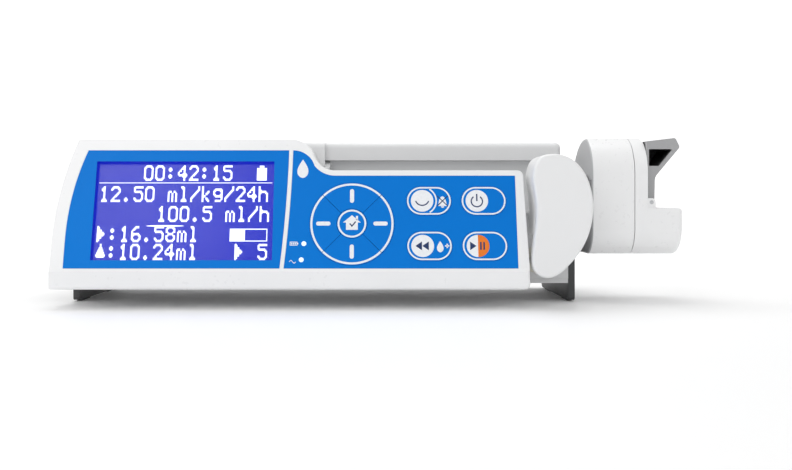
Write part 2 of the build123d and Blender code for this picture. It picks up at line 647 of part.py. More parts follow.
def half_nut():
    """Upper half of the nut, which lifts clear of the screw when the clutch opens."""
    u0, u1 = CARRIAGE_U0 + 2.2, CARRIAGE_U1 - 2.2
    block = box(u0, u1, SCREW_V - 7.8, SCREW_V + 7.8, SCREW_Z + 0.3, 50.0)
    return block - bar(u0 - 1, u1 + 1, SCREW_V, SCREW_Z, SCREW_R + RUNNING)


def drive_tube():
    """Stainless tube that carries the pusher head."""
    return (bar(CARRIAGE_U0, 322.0, TUBE_V, TUBE_Z, TUBE_R)
            - bar(CARRIAGE_U0 - 1, 323.0, TUBE_V, TUBE_Z, 6.0))


def tube_bush():
    """Flanged plain bearing for the tube."""
    ring = bar(FRAME_RIGHT, FRAME_RIGHT + BRACKET + 0.9, TUBE_V, TUBE_Z, 10.0)
    return ring - bar(FRAME_RIGHT - 1, CASE_LENGTH, TUBE_V, TUBE_Z, TUBE_R + RUNNING)


def tube_seal():
    """Rubber wiper round the tube where it leaves the case."""
    ring = bar(CASE_LENGTH - PLATE - WALL, CASE_LENGTH + 0.8, TUBE_V, TUBE_Z, 9.9)
    return ring - bar(CASE_LENGTH - 12, CASE_LENGTH + 2, TUBE_V, TUBE_Z, TUBE_R + 0.1)


def clutch_rod():
    """Rod inside the drive tube, drawn along by the lever to open the half nut."""
    return bar(CARRIAGE_U0 + 2, 333.0, TUBE_V, TUBE_Z, 2.5) + bar(CARRIAGE_U0 + 2, CARRIAGE_U0 + 6, TUBE_V, TUBE_Z, 4.5)


# ---- pusher head ----
def head_outline(inset=0.0):
    """The head from the side: upright front, large round corners and a back that falls away."""
    i = inset
    front, back, low, top = HEAD_FRONT + i, HEAD_BACK - i, 28.4 + i, 97.4 - i
    return make_face(Wire([
        Line((front, 43.0), (front, 75.0)),
        ThreePointArc((front, 75.0), (front + 6.6 - i * 0.3, top - 6.4), (53.0, top)),
        ThreePointArc((53.0, top), (70.0, top - 3.0), (83.0, 86.0 - i)),
        ThreePointArc((83.0, 86.0 - i), (back - 0.6, 80.0 - i), (back, 74.0)),
        Line((back, 74.0), (back, 37.0)),
        ThreePointArc((back, 37.0), (back - 3.0 + i * 0.2, low + 3.0 - i * 0.2), (back - 10.0 + i, low)),
        Line((back - 10.0 + i, low), (49.0, low)),
        ThreePointArc((49.0, low), (front + 4.7 - i * 0.3, low + 4.7 - i * 0.3), (front, 43.0)),
    ]))


def pusher_shell():
    """Left half of the head, next to the plunger."""
    outer = side_view(HEAD_LEFT, HEAD_SEAM)(head_outline())
    left_rim = outer.faces().sort_by(Axis.X)[0].edges()
    outer = fillet(left_rim, 1.2)
    shell = outer - side_view(HEAD_LEFT + WALL, HEAD_SEAM + 1)(head_outline(WALL))
    shell -= bar(HEAD_LEFT - 1, HEAD_LEFT + 5, TUBE_V, TUBE_Z, TUBE_R)
    for v0, v1 in CLAW_SLOTS:
        shell -= box(HEAD_LEFT - 1, HEAD_LEFT + WALL + 1, v0, v1, SYRINGE_Z - 4.2, SYRINGE_Z + 4.2)
    shell -= bar(HEAD_LEFT - 1, HEAD_LEFT + 5, PLATE_V, SYRINGE_Z, 4.2)
    return shell


PLATE_V = 48.0
CLAW_SLOTS = ((35.7, 40.4), (56.0, 68.4))


def pusher_cover():
    """Right half of the head, with the finger rest below the lever."""
    outer = side_view(HEAD_SEAM + 0.4, HEAD_RIGHT)(head_outline())
    rest = (side_view(HEAD_RIGHT, LENGTH)(head_outline())
            & box(HEAD_RIGHT - 1, LENGTH + 1, 0, DEPTH, 0, LEDGE_Z))
    outer += rest
    end = outer.faces().sort_by(Axis.X)[-1]
    outer = fillet(end.edges(), 3.0)
    upper = side_view(HEAD_SEAM, HEAD_RIGHT - WALL)(head_outline(WALL))
    lower = (side_view(HEAD_SEAM, LENGTH - WALL)(head_outline(WALL))
             & box(HEAD_SEAM - 1, LENGTH, 0, DEPTH, 0, LEDGE_Z - WALL))
    shell = outer - upper - lower
    shell -= box(HEAD_RIGHT - WALL - 1, HEAD_RIGHT + 0.1, LEVER_V0 + 6, LEVER_V1 - 6, 62.0, 70.0)
    for ear in lever_brackets():
        shell += ear
    return shell


def head_frame():
    """Metal block inside the head that holds the tube."""
    block = box(312.0, 322.0, 62.0, 82.0, 34.0, 52.0)
    return block - bar(311.0, 323.0, TUBE_V, TUBE_Z, TUBE_R)


def force_plate():
    """Plate that pushes on the plunger, on its load-cell stem."""
    plate = bar(HEAD_LEFT - 2.6, HEAD_LEFT - 0.4, PLATE_V, SYRINGE_Z, 7.4)
    plate = fillet(plate.edges().sort_by(Axis.X)[0], 0.6)
    return plate + bar(HEAD_LEFT - 0.4, HEAD_LEFT + 8, PLATE_V, SYRINGE_Z, 4.0)


def plunger_claw(front):
    """Hook that keeps the plunger's flange against the force plate."""
    v0, v1 = (36.2, 38.4) if front else (58.0, 60.2)
    z0, z1 = SYRINGE_Z - 4.0, SYRINGE_Z + 4.0
    claw = box(HEAD_LEFT - 6.2, HEAD_LEFT + 9, v0, v1, z0, z1)
    hook = (v1, v1 + 2.0) if front else (v0 - 2.0, v0)
    return claw + box(HEAD_LEFT - 6.2, HEAD_LEFT - 4.4, hook[0], hook[1], z0, z1)


LEVER_V0, LEVER_V1 = 37.0, 71.0
LEVER_PIN = (341.6, 59.2)
LEVER_U0 = HEAD_RIGHT + 0.3


def clutch_lever():
    """Hollow thumb lever: a flared top, an upright web and a round eye on the pin."""
    body = rounded_polygon(
        ((LEVER_U0, LEVER_PIN[1]), (LEVER_PIN[0] + 2.3, LEVER_PIN[1]), (344.2, 74.0), (358.9, 91.6),
         (356.2, 97.0), (LEVER_U0, 95.0)),
        (0, 0, 6.0, 1.6, 1.6, 0))
    inside = rounded_polygon(
        ((LEVER_U0 + 1.4, 80.5), (346.6, 80.5), (354.6, 90.4), (LEVER_U0 + 1.4, 90.4)),
        (0.5, 0.5, 0.5, 0.5))
    lever = front_view(LEVER_V0, LEVER_V1)(body) + pin_v(*LEVER_PIN, LEVER_V0, LEVER_V1, 2.3)
    lever -= front_view(LEVER_V0 - 1, LEVER_V1 - 3)(inside)
    return lever - pin_v(*LEVER_PIN, LEVER_V0 - 1, LEVER_V1 + 1, 1.2 + RUNNING)


def lever_pin():
    return pin_v(*LEVER_PIN, LEVER_V0 - 2.5, LEVER_V1 + 2.5, 1.2)


def lever_brackets():
    """Two ears on the head's cover that hold the lever's pin."""
    ears = []
    for v0, v1 in ((LEVER_V0 - 2.5, LEVER_V0 - 0.3), (LEVER_V1 + 0.3, LEVER_V1 + 2.5)):
        ear = box(HEAD_RIGHT - 1, LEVER_PIN[0], v0, v1, LEDGE_Z - 1, LEVER_PIN[1] + 2.4)
        ear += pin_v(*LEVER_PIN, v0, v1, 2.4)
        ear += box(LEVER_PIN[0] - 1, LEVER_PIN[0] + 2.4, v0, v1, LEDGE_Z - 1, LEVER_PIN[1])
        ears.append(ear - pin_v(*LEVER_PIN, v0 - 1, v1 + 1, 1.2))
    return ears


# ---- syringe holder ----
HOLDER_FRONT, HOLDER_FACE_BACK, HOLDER_PAD_BACK = 0.4, 7.0, 28.5
HOLDER_POINTS = ((278.7, 85.9), (290.7, 81.4), (298.6, 68.0), (300.2, 55.0), (296.3, 38.0),
                 (286.0, 23.6), (274.5, 17.4), (268.2, 20.6), (266.6, 30.0), (268.6, 47.0),
                 (268.4, 62.0), (267.2, 76.5), (271.2, 84.2))


def holder_face_outline():
    """The paddle seen from the front: an ear with a round right side and a slightly hollow left side."""
    return make_face(Wire(Spline(*HOLDER_POINTS, periodic=True)))


def holder_paddle():
    """Moulded front of the syringe holder."""
    body = front_view(HOLDER_FRONT, HOLDER_FACE_BACK)(holder_face_outline())
    rim = body.faces().sort_by(Axis.Y)[0].edges()
    body = fillet(rim, 1.6)
    return body - pin_v(PIVOT_U, PIVOT_Z, 4.0, HOLDER_FACE_BACK + 1, SHAFT_R)


def holder_pad():
    """Block behind the paddle that presses on the barrel, with a nose for small syringes."""
    pad = front_view(HOLDER_FACE_BACK + 0.4, HOLDER_PAD_BACK)(holder_face_outline())
    pad &= box(260, 294, 0, DEPTH, 41.0, 100)
    nose = box(272.0, 290.0, HOLDER_PAD_BACK, 32.0, SYRINGE_Z - 3.5, SYRINGE_Z + 3.5)
    nose = fillet([e for e in nose.edges().filter_by(Axis.X) if e.center().Y > 31 - DEPTH / 2], 2.5)
    low_edge = [e for e in pad.edges().filter_by(Axis.X) if e.center().Z < 42]
    return fillet(low_edge, 3.0) + nose + box(270, 290, HOLDER_FACE_BACK, HOLDER_FACE_BACK + 0.5, 45, 80)


def holder_shaft():
    """Steel shaft that the holder slides and turns on."""
    return pin_v(PIVOT_U, PIVOT_Z, 4.0, 88.0, SHAFT_R)


def holder_bush():
    """Flanged bush in the case wall."""
    ring = pin_v(PIVOT_U, PIVOT_Z, CONSOLE_BACK - 2, CONSOLE_BACK, 7.5)
    ring += pin_v(PIVOT_U, PIVOT_Z, CONSOLE_BACK, CONSOLE_BACK + 7, 5.9)
    return ring - pin_v(PIVOT_U, PIVOT_Z, 40, 60, SHAFT_R + RUNNING)


def holder_yoke():
    """Yoke on the shaft's end that moves the size sensor; it slides but doesn't turn."""
    yoke = box(PIVOT_U - 7, PIVOT_U + 6, 84.0, 87.0, 17.5, 31.0)
    return yoke - pin_v(PIVOT_U, PIVOT_Z, 83, 89, SHAFT_R + RUNNING)


def size_sensor():
    """Slide potentiometer that reads the holder's position."""
    return box(255.5, 261.5, 48.8, 60.0, 17.0, 27.0)


NODES = {
    "front_cover": front_cover, "display_overlay": display_overlay, "keypad_overlay": keypad_overlay,
    "display_window": display_window, "display_glass": display_glass, "display_frame": display_frame,
    "keypad_board": keypad_board, "status_lamps": status_lamps,
    "rear_housing": rear_housing, "syringe_tray": syringe_tray,
    "left_side_plate": lambda: side_plate(False), "right_side_plate": lambda: side_plate(True),
    "rubber_feet": rubber_feet, "base_plate": base_plate,
    "battery_door": battery_door, "battery_cells": battery_cells, "case_screws": case_screws,
    "clamp_inserts": clamp_inserts, "mains_inlet": mains_inlet,
    "data_port": data_port, "main_board": main_board,
    "power_board": power_board, "speaker": speaker, "drive_frame": drive_frame,
    "guide_rod": guide_rod, "screw_bearings": screw_bearings,
    "lead_screw": lead_screw, "screw_gear": screw_gear, "motor_pinion": motor_pinion,
    "stepper_motor": stepper_motor, "carriage": carriage,
    "half_nut": half_nut, "drive_tube": drive_tube, "tube_bush": tube_bush, "tube_seal": tube_seal,
    "clutch_rod": clutch_rod, "pusher_shell": pusher_shell, "pusher_cover": pusher_cover,
    "head_frame": head_frame, "force_plate": force_plate,
    "front_claw": lambda: plunger_claw(True), "rear_claw": lambda: plunger_claw(False),
    "clutch_lever": clutch_lever, "lever_pin": lever_pin,
    "holder_paddle": holder_paddle, "holder_pad": holder_pad, "holder_shaft": holder_shaft,
    "holder_bush": holder_bush, "holder_yoke": holder_yoke,
    "size_sensor": size_sensor,
}

if __name__ == "__main__":
    os.makedirs("parts", exist_ok=True)
    for node, make in NODES.items():
        export_step(make(), f"parts/{node}.step")
    for key in (*DIRECTIONS, "key_ok", *KEY_PLACES):
        export_step(key_cap(key), f"parts/{key}.step")
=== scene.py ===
import math

import bpy
import numpy as np
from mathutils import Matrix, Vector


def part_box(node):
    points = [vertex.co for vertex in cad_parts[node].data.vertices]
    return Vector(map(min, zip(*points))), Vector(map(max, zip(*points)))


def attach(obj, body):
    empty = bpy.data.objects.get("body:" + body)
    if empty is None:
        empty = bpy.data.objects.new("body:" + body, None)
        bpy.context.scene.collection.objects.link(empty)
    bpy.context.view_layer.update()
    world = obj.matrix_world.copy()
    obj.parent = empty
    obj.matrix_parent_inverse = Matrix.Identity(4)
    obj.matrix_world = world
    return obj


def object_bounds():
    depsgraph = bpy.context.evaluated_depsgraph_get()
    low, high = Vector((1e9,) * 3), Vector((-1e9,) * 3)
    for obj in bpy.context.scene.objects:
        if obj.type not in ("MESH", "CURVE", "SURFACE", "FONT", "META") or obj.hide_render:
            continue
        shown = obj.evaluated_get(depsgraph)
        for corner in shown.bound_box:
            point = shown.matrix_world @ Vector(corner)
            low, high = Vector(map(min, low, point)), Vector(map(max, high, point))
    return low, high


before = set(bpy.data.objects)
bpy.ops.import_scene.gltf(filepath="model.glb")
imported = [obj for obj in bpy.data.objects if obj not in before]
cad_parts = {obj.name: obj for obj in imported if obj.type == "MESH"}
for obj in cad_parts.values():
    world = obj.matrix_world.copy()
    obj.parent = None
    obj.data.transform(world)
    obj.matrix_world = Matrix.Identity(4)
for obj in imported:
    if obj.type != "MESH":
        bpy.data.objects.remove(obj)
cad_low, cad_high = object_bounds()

# ---- Front cover and pusher head ----
# White ABS shells with a fine satin surface: a slight flow mottling, handling marks that dull the
# gloss, and a grain too fine to feel. The head's face towards the plunger is painted mid grey as painted
# shade.


class Number:
    """A number that varies over a surface. It wraps a socket, and the operators add Math nodes."""

    def __init__(self, finish, socket):
        self.finish, self.socket = finish, socket

    def math(self, operation, *others):
        values = [o.socket if isinstance(o, Number) else o for o in (self, *others)]
        return Number(self.finish, self.finish.node("ShaderNodeMath", {"operation": operation}, *values))

    def __add__(self, other):
        return self.math("ADD", other)

    def __mul__(self, other):
        return self.math("MULTIPLY", other)

    def __sub__(self, other):
        return self.math("SUBTRACT", other)

    def __truediv__(self, other):
        return self.math("DIVIDE", other)

    def __rsub__(self, other):
        return (self * -1.0) + other

    __radd__, __rmul__ = __add__, __mul__

    def above(self, edge, soft):
        """0 below the edge, 1 above it, with a soft step between."""
        low, high = edge - soft, edge + soft
        step = self.finish.node("ShaderNodeMapRange", {"interpolation_type": "SMOOTHSTEP"},
                                self.socket, low, high, 0.0, 1.0)
        return Number(self.finish, step)

    def sine(self):
        return self.math("SINE")

    def fraction(self):
        return self.math("FRACT")

    def size(self):
        return self.math("ABSOLUTE")


class Finish:
    """A material being made: a Principled shader, and the nodes that vary it over the surface."""

    def __init__(self, name, **fixed):
        self.material = bpy.data.materials.new(name)
        self.material.use_nodes = True
        self.tree = self.material.node_tree
        self.shader = self.tree.nodes["Principled BSDF"]
        for socket, value in fixed.items():
            self.shader.inputs[socket.replace("_", " ")].default_value = value
        self.place = self.node("ShaderNodeTexCoord", {}, output="Object")

    def node(self, kind, settings, *inputs, output=0):
        """Adds a node, sets its settings, then fills its inputs in order with values or links."""
        made = self.tree.nodes.new(kind)
        for name, value in settings.items():
            setattr(made, name, value)
        for socket, value in zip(made.inputs, inputs):
            if isinstance(value, bpy.types.NodeSocket):
                self.tree.links.new(value, socket)
            elif value is not None:
                socket.default_value = value
        return made.outputs[output]

    def axes(self):
        """The three coordinates of the piece, in metres."""
        split = self.node("ShaderNodeSeparateXYZ", {}, self.place).node
        return [Number(self, socket) for socket in split.outputs]

    def noise(self, scale, detail=3.0, stretch=(1, 1, 1)):
        """Smooth noise about one unit of 1/scale metres across, stretched along the axes."""
        spot = self.node("ShaderNodeVectorMath", {"operation": "MULTIPLY"}, self.place, stretch)
        made = self.tree.nodes.new("ShaderNodeTexNoise")
        made.inputs["Scale"].default_value = scale
        made.inputs["Detail"].default_value = detail
        self.tree.links.new(spot, made.inputs["Vector"])
        return Number(self, made.outputs["Fac"])

    def mix(self, share, one, two):
        """A colour between two colours."""
        made = self.tree.nodes.new("ShaderNodeMix")
        made.data_type = "RGBA"
        for socket, value in ((made.inputs[0], share.socket), (made.inputs[6], one), (made.inputs[7], two)):
            if isinstance(value, bpy.types.NodeSocket):
                self.tree.links.new(value, socket)
            else:
                socket.default_value = (*value[:3], 1.0)
        return made.outputs[2]

    def colour(self, socket):
        self.tree.links.new(socket, self.shader.inputs["Base Color"])

    def glow(self, socket):
        self.tree.links.new(socket, self.shader.inputs["Emission Color"])

    def rough(self, number):
        self.tree.links.new(number.socket, self.shader.inputs["Roughness"])

    def bump(self, height, depth, strength=1.0):
        """Raises the surface by height times depth metres."""
        made = self.tree.nodes.new("ShaderNodeBump")
        made.inputs["Strength"].default_value = strength
        made.inputs["Distance"].default_value = depth
        self.tree.links.new(height.socket, made.inputs["Height"])
        self.tree.links.new(made.outputs["Normal"], self.shader.inputs["Normal"])


def moulded(name, light, dark, gloss, grain, depth, coat=0.0, smudges=0.03):
    """Moulded plastic: two close tones mixed by flow, smudges that change the gloss, and a grain."""
    finish = Finish(name, Coat_Weight=coat, Coat_Roughness=0.12)
    flow = finish.noise(14.0)
    smudge = finish.noise(45.0, 5.0).above(0.56, 0.16)
    finish.colour(finish.mix(flow.above(0.5, 0.3), light, dark))
    finish.rough(gloss + smudge * smudges + finish.noise(420.0, 2.0) * 0.04)
    finish.bump(finish.noise(grain, 2.0), depth, 0.5)
    return finish.material


def wear(node, material):
    """Gives a CAD node its material."""
    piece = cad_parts[node]
    piece.data.materials.clear()
    piece.data.materials.append(material)


WHITE, SHADED_WHITE = (0.9, 0.903, 0.906), (0.875, 0.879, 0.884)
white_shell = moulded("white shell", WHITE, SHADED_WHITE, 0.26, 2600.0, 2e-5, 0.2)
for node in ("front_cover", "pusher_cover"):
    wear(node, white_shell)


def head_finish_painted_shade():
    """The same white, with the face towards the plunger painted mid grey as far as its rounded rim: painted
    shade on that face.
    """
    finish = Finish("head shell", Coat_Weight=0.2, Coat_Roughness=0.12)
    x, y, z = finish.axes()
    white = x.above(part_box("pusher_shell")[0].x + 0.0007, 0.0001)
    flow = finish.noise(14.0).above(0.5, 0.3)
    # grey: painted shade, a flat mid grey laid on the face towards the plunger in place of the white.
    grey = finish.mix(flow, (0.5, 0.505, 0.515), (0.46, 0.465, 0.475))
    finish.colour(finish.mix(white, grey, finish.mix(flow, WHITE, SHADED_WHITE)))
    finish.rough(0.34 - white * 0.08 + finish.noise(420.0, 2.0) * 0.04)
    finish.bump(finish.noise(2600.0, 2.0), 2e-5, 0.5)
    return finish.material


wear("pusher_shell", head_finish_painted_shade())

# ---- Syringe holder ----
# A paddle and a pad block of the same white plastic, a touch warmer and more polished by hands, on a
# ground steel shaft that slides and turns in the case.

holder_plastic = moulded("holder plastic", (0.86, 0.863, 0.866), (0.835, 0.839, 0.844),
                         0.3, 2600.0, 1.2e-5, 0.1, 0.015)
for node in ("holder_paddle", "holder_pad"):
    wear(node, holder_plastic)


def ground_steel(name, tone, along, gloss=0.22):
    """Steel ground or drawn along one axis: fine streaks in colour, gloss and height."""
    finish = Finish(name, Metallic=1.0)
    stretch = tuple(0.02 if axis == along else 1.0 for axis in range(3))
    streak = finish.noise(3800.0, 4.0, stretch)
    darker = tuple(0.8 * c for c in tone)
    finish.colour(finish.mix(streak.above(0.5, 0.25), tone, darker))
    finish.rough(gloss + streak * 0.16 + finish.noise(60.0).above(0.6, 0.1) * 0.08)
    finish.bump(streak, 6e-6, 0.6)
    return finish.material


wear("holder_shaft", ground_steel("shaft steel", (0.66, 0.67, 0.69), 1))

# ---- Rear housing, base and battery door ----
# Light grey ABS with a spark-eroded grain that hides scratches. The base plate and the battery door
# are moulded in the same grey.

grey_housing = moulded("grey housing", (0.78, 0.784, 0.79), (0.74, 0.744, 0.75), 0.4, 1500.0, 7e-5, 0.1)
for node in ("rear_housing", "base_plate", "battery_door"):
    wear(node, grey_housing)

# ---- Syringe tray ----
# A liner of smooth grey acetal. Syringe barrels rub the floor of the channel, which leaves it
# shinier there, with fine lengthways scuffs.


def tray_finish():
    finish = Finish("tray acetal", Coat_Weight=0.08)
    x, y, z = finish.axes()
    worn = 1.0 - z.above(0.062, 0.005)
    scuffs = finish.noise(1500.0, 3.0, (0.03, 1, 1)).above(0.6, 0.06) * worn
    finish.colour(finish.mix(scuffs * 0.5, (0.7, 0.705, 0.712), (0.62, 0.625, 0.632)))
    finish.rough(0.4 - worn * 0.12 + scuffs * 0.15)
    finish.bump(finish.noise(1800.0) + scuffs * 0.4, 2e-5, 0.5)
    return finish.material


wear("syringe_tray", tray_finish())

# ---- Side plates, lever and claws ----
# Glass-filled nylon: mid grey on the claws and force plate, near-black on the plates, whose lower
# edges are the rails that the pump stands on. The thumb lever has a grey edge, and inside it is painted
# near-black as painted shade.

grey_nylon = moulded("grey nylon", (0.34, 0.342, 0.348), (0.29, 0.292, 0.3), 0.38, 1300.0, 5e-5, 0.05, 0.1)
for node in ("front_claw", "rear_claw", "force_plate"):
    wear(node, grey_nylon)


def lever_finish_painted_shade():
    """Grey nylon on the front edge and the left flank, and painted near-black between the ribs behind them:
    painted shade in the hollow.
    """
    finish = Finish("lever nylon", Coat_Weight=0.05)
    x, y, z = finish.axes()
    flow = finish.noise(14.0).above(0.5, 0.3)
    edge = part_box("clutch_lever")[0].y + 0.0022
    grey = finish.mix(flow, (0.4, 0.402, 0.408), (0.34, 0.342, 0.35))
    black = finish.mix(flow, (0.035, 0.035, 0.037), (0.05, 0.05, 0.053))
    # black: painted shade, near-black on everything behind the front edge, where the hollow lever lies in
    # shade.
    finish.colour(finish.mix(y.above(edge, 0.0003), grey, black))
    finish.rough(0.4 + finish.noise(45.0, 5.0).above(0.56, 0.16) * 0.1)
    finish.bump(finish.noise(1300.0, 2.0), 5e-5, 0.5)
    return finish.material


wear("clutch_lever", lever_finish_painted_shade())
plate_nylon = moulded("plate nylon", (0.07, 0.071, 0.074), (0.05, 0.051, 0.054),
                      0.5, 900.0, 9e-5, 0.05, 0.1)
for node in ("left_side_plate", "right_side_plate"):
    wear(node, plate_nylon)

# ---- Rubber ----
# Feet under the rails and the wiper seal round the drive tube: black rubber with a dull bloom.


def rubber():
    finish = Finish("black rubber")
    bloom = finish.noise(70.0, 5.0).above(0.55, 0.2)
    finish.colour(finish.mix(bloom, (0.02, 0.02, 0.022), (0.05, 0.05, 0.052)))
    finish.rough(0.66 + bloom * 0.2)
    finish.bump(finish.noise(1700.0, 4.0), 5e-5, 0.6)
    return finish.material


for node in ("rubber_feet", "tube_seal"):
    wear(node, rubber())

# ---- Drive ----
# A stainless tube and rod, a ground lead screw with its thread, brass gear and half nut, and a cast
# frame. They are inside the case, except the tube, which comes out with the pusher.

for node in ("drive_tube", "guide_rod", "clutch_rod", "lever_pin", "case_screws", "screw_bearings",
             "motor_pinion"):
    wear(node, ground_steel(f"{node} steel", (0.64, 0.65, 0.67), 0))
wear("display_frame", ground_steel("tinned steel", (0.6, 0.61, 0.62), 0, 0.3))

THREAD_LEAD = 0.002
screw_low, screw_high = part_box("lead_screw")
SCREW_Y, SCREW_Z = (screw_low.y + screw_high.y) / 2, (screw_low.z + screw_high.z) / 2


def threaded_steel_painted_shade():
    """A thread's rounded ridges: a sine of the distance along the axis plus the angle round it. The grooves
    between them are painted darker, as painted shade.
    """
    finish = Finish("thread steel", Metallic=1.0)
    x, y, z = finish.axes()
    angle = (z - SCREW_Z).math("ARCTAN2", y - SCREW_Y)
    ridge = (x * (2 * math.pi / THREAD_LEAD) + angle).sine()
    # Darker colour in the grooves: painted shade in the thread's roots.
    finish.colour(finish.mix(ridge.above(-0.2, 0.5), (0.36, 0.35, 0.34), (0.68, 0.69, 0.7)))
    finish.rough(0.34 - ridge * 0.06)
    finish.bump(ridge, 3e-4, 0.8)
    return finish.material


wear("lead_screw", threaded_steel_painted_shade())


def cut_metal(name, light, dark, scale, depth, gloss):
    """Cast or machined metal: a blotchy tone, dull spots and a surface of the given scale."""
    finish = Finish(name, Metallic=1.0)
    blotch = finish.noise(90.0, 5.0)
    finish.colour(finish.mix(blotch.above(0.5, 0.25), light, dark))
    finish.rough(gloss + blotch * 0.2)
    finish.bump(finish.noise(scale, 4.0), depth, 0.6)
    return finish.material


for node in ("drive_frame", "head_frame"):
    wear(node, cut_metal("cast alloy", (0.6, 0.61, 0.62), (0.5, 0.51, 0.52), 700.0, 1.5e-4, 0.4))
for node in ("screw_gear", "half_nut", "clamp_inserts"):
    wear(node, cut_metal("machined brass", (0.78, 0.58, 0.27), (0.62, 0.44, 0.18), 2600.0, 2e-5, 0.22))

# ---- Carriage, bushes and yoke ----
# Natural acetal, cream-coloured and a little waxy.

acetal = moulded("natural acetal", (0.78, 0.76, 0.68), (0.72, 0.7, 0.61), 0.34, 1800.0, 2e-5)
for node in ("carriage", "tube_bush", "holder_bush", "holder_yoke"):
    wear(node, acetal)

# ---- Black parts ----
# Mains inlet, data socket, speaker, sensor and motor: black plastic or black-enamelled steel.

black = moulded("black moulding", (0.02, 0.02, 0.022), (0.035, 0.035, 0.038), 0.36, 1400.0, 5e-5)
for node in ("mains_inlet", "data_port", "speaker", "stepper_motor", "size_sensor"):
    wear(node, black)

# ---- Circuit boards and battery ----
# Green solder mask over a grid of copper tracks that shows as a slight relief, and cells in a blue
# heat-shrink sleeve with faint wrinkles.


def solder_mask():
    finish = Finish("solder mask", Coat_Weight=0.3)
    x, y, z = finish.axes()
    tracks = ((x * 400.0).fraction() - 0.5).size().above(0.34, 0.03)
    rows = ((y * 300.0).fraction() - 0.5).size().above(0.36, 0.03)
    copper = (tracks + rows * (finish.noise(60.0).above(0.5, 0.02))) * 0.5
    finish.colour(finish.mix(copper, (0.008, 0.12, 0.045), (0.03, 0.26, 0.1)))
    finish.rough(0.3 + finish.noise(300.0) * 0.1)
    finish.bump(copper, 5e-5, 0.8)
    return finish.material


for node in ("keypad_board", "main_board", "power_board"):
    wear(node, solder_mask())


def shrink_sleeve():
    finish = Finish("shrink sleeve")
    wrinkle = finish.noise(160.0, 4.0, (1, 0.25, 1))
    finish.colour(finish.mix(wrinkle, (0.02, 0.11, 0.4), (0.03, 0.17, 0.52)))
    finish.rough(0.26 + wrinkle * 0.16)
    finish.bump(wrinkle, 2e-4, 0.5)
    return finish.material


wear("battery_cells", shrink_sleeve())

# ---- Printed overlays ----
# Reverse-printed polyester sheets, bright blue behind a hard clear coat with a very fine texture.
# They sit in shallow recesses, so the white cover shows as their border.


def printed_blue(name, light, dark, gloss):
    """Blue ink behind a clear film: a painted highlight that makes the blue lighter towards the bottom left
    of the sheet, a slight random change of tone, and a fine orange peel.
    """
    finish = Finish(name, Specular_IOR_Level=0.1)
    x, y, z = finish.axes()
    # painted_highlight: a painted highlight, the blue lighter towards the bottom and the left and darker
    # towards the top right.
    painted_highlight = (x * 0.5 + z * 2.0).above(0.12, 0.25)
    finish.colour(finish.mix(painted_highlight * 0.6 + finish.noise(25.0) * 0.3, light, dark))
    finish.rough(gloss + finish.noise(90.0, 4.0).above(0.58, 0.12) * 0.08)
    finish.bump(finish.noise(3200.0, 2.0), 1.5e-5, 0.5)
    return finish.material


overlay_blue = printed_blue("overlay blue", (0.0, 0.2, 0.7), (0.0, 0.17, 0.62), 0.34)
for node in ("display_overlay", "keypad_overlay"):
    wear(node, overlay_blue)

# ---- Key caps ----
# Silicone keys printed in the overlay's blue, with a soft dulled surface. They stand 0.4 mm proud,
# and each has a narrow gap round it.

key_blue = printed_blue("key blue", (0.0, 0.2, 0.7), (0.0, 0.17, 0.62), 0.36)
KEYS = ("key_up", "key_left", "key_down", "key_right", "key_ok",
        "key_menu", "key_power", "key_bolus", "key_start")
for node in KEYS:
    wear(node, key_blue)

# ---- Status lamps ----
# Two frosted light pipes beside the keypad, lit a soft white.


def lamp_finish():
    finish = Finish("lamp", Emission_Strength=0.5, Coat_Weight=0.5)
    spot = finish.noise(900.0)
    finish.colour(finish.mix(spot, (0.85, 0.92, 0.95), (0.7, 0.8, 0.86)))
    finish.glow(finish.mix(spot, (0.8, 0.95, 1.0), (0.6, 0.8, 0.9)))
    finish.rough(0.25 + spot * 0.1)
    finish.bump(spot, 3e-5, 0.4)
    return finish.material


wear("status_lamps", lamp_finish())

# ---- Display window and cell ----
# A clear acrylic pane, and behind it a blue-violet liquid-crystal cell with its backlight on: a fine
# grid of dots that the light shows, brighter in the middle than at the edges.


def window_finish():
    finish = Finish("window", Alpha=0.02, Specular_IOR_Level=0.05)
    smear = finish.noise(35.0, 5.0).above(0.55, 0.2)
    finish.colour(finish.mix(smear, (0.1, 0.12, 0.3), (0.2, 0.22, 0.4)))
    finish.rough(0.06 + smear * 0.1)
    finish.bump(finish.noise(400.0), 1e-5, 0.3)
    return finish.material


wear("display_window", window_finish())

window_low, window_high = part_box("display_window")
SCREEN_X = (window_low.x + window_high.x) / 2
SCREEN_Z = (window_low.z + window_high.z) / 2
DOT = 0.00072


def cell_finish():
    """Emission from a dot grid: fractions of both coordinates give the dark lines between dots."""
    finish = Finish("liquid crystal", Emission_Strength=0.75)
    x, y, z = finish.axes()
    across = ((x / DOT).fraction() - 0.5).size().above(0.44, 0.05)
    up = ((z / DOT).fraction() - 0.5).size().above(0.44, 0.05)
    lines = (across + up) * 0.22
    dx, dz = (x - SCREEN_X) * 14.0, (z - SCREEN_Z) * 24.0
    falloff = (dx * dx + dz * dz).above(1.0, 1.0) * 0.35
    blue = finish.mix(lines + falloff, (0.004, 0.014, 0.55), (0.002, 0.01, 0.38))
    finish.glow(blue)
    finish.colour(finish.mix(falloff, (0.008, 0.012, 0.2), (0.005, 0.008, 0.14)))
    finish.rough(0.2 + lines * 0.2)
    return finish.material


wear("display_glass", cell_finish())

# ---- Marks on the panel ----
# White, blue and orange ink on the keys and the overlay. Each mark is a thin flat piece laid on the
# leaning panel, 0.03 mm above what it is printed on, and it moves with its key.

